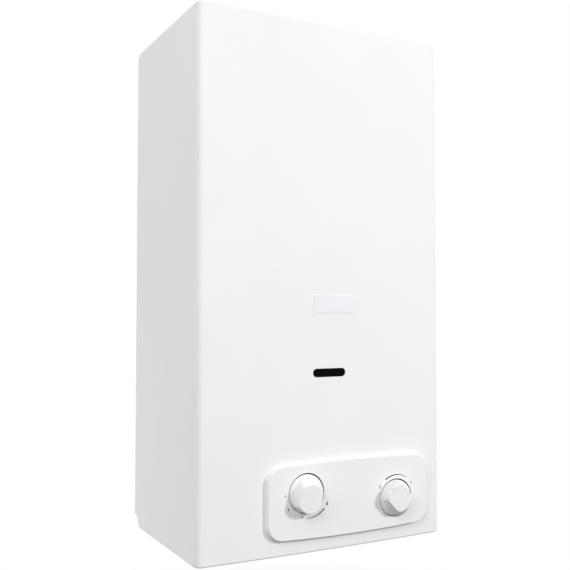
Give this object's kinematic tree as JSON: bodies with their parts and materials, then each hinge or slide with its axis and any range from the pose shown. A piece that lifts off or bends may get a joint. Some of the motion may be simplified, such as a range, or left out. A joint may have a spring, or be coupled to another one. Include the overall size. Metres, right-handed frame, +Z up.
{
  "type": "tankless gas water heater",
  "caption": "Wall-hung tankless gas water heater: upright white steel casing with a raised control plateau, turning knobs and a flame sight slot, over a burner, copper exchanger and flue hood",
  "frame": {"origin": "midway between the two hanging slots, on the wall plane", "axes": "+X to the heater's right as seen from the front, +Y into the wall, +Z up; the front faces -Y"},
  "size_m": [0.295, 0.227, 0.589],
  "materials": {
    "enamel": "gloss white enamel",
    "zinc_sheet": "galvanised sheet",
    "burner_steel": "stainless sheet, slightly heat-tinted",
    "steel_rod": "turned steel",
    "knob_plastic": "satin white plastic",
    "dark_plastic": "matt black plastic",
    "ceramic_white": "glazed white insulator",
    "brass": "machined brass",
    "copper": "bright copper, brazed",
    "cast_alloy": "die-cast alloy",
    "rubber": "moulded rubber",
    "sight_glass": "dark heat-proof glass"
  },
  "bodies": {
    "heater": {"back_plate": "zinc_sheet", "front_cover": "enamel", "sight_glass": "sight_glass", "sight_frame": "zinc_sheet", "piezo_igniter": "dark_plastic", "gas_valve_body": "cast_alloy", "gas_gland": "brass", "magnet_unit": "brass", "valve_bridge": "cast_alloy", "water_gland": "brass", "water_valve_cover": "brass", "diaphragm": "rubber", "water_valve_body": "brass", "drain_plug": "brass", "riser_nut": "brass", "cold_riser": "copper", "inlet_header": "copper", "right_return_header": "copper", "left_return_header": "copper", "outlet_header": "copper", "exchanger_tubes": "copper", "exchanger_fins": "copper", "exchanger_shell": "copper", "hot_pipe": "copper", "draft_hood": "zinc_sheet", "flue_collar": "zinc_sheet", "spill_thermostat": "dark_plastic", "overheat_thermostat": "dark_plastic", "burner_rails": "burner_steel", "burner_frame": "burner_steel", "gas_manifold": "cast_alloy", "burner_jets": "brass", "gas_elbow": "cast_alloy", "pilot_bracket": "burner_steel", "pilot_burner": "brass", "ignition_electrode": "ceramic_white", "thermocouple": "copper", "valve_bracket": "zinc_sheet", "upper_bracket": "zinc_sheet", "lower_bracket": "zinc_sheet", "pipe_clip": "zinc_sheet"},
    "gas_press": {"press_yoke": "zinc_sheet", "piezo_plunger": "dark_plastic"},
    "gas_control": {"gas_knob": "knob_plastic", "gas_spindle": "brass"},
    "water_control": {"water_knob": "knob_plastic", "water_spindle": "brass"},
    "rod": {"valve_rod": "steel_rod"},
    "poppet": {"gas_poppet": "rubber"}
  },
  "joints": [
    {"name": "gas_knob_press", "type": "slide", "parent": "heater", "child": "gas_press", "axis": [0, 1, 0], "range_m": [0, 0.008], "stiffness_N_per_m": 1500, "springref_m": -0.002},
    {"name": "gas_knob_turn", "type": "hinge", "parent": "gas_press", "child": "gas_control", "pos_m": [-0.0297, -0.213, -0.465], "axis": [0, -1, 0], "range_deg": [-77, 78]},
    {"name": "water_knob_turn", "type": "hinge", "parent": "heater", "child": "water_control", "pos_m": [0.0813, -0.213, -0.4811], "axis": [0, -1, 0], "range_deg": [-98, 13]},
    {"name": "valve_rod_slide", "type": "slide", "parent": "heater", "child": "rod", "axis": [-1, 0, 0], "range_m": [0, 0.004], "stiffness_N_per_m": 800, "springref_m": -0.002},
    {"name": "gas_poppet_slide", "type": "slide", "parent": "heater", "child": "poppet", "axis": [-1, 0, 0], "range_m": [0, 0.004]}
  ],
  "couplings": [
    {"joint": "gas_poppet_slide", "follows": "valve_rod_slide", "ratio": 1}
  ]
}
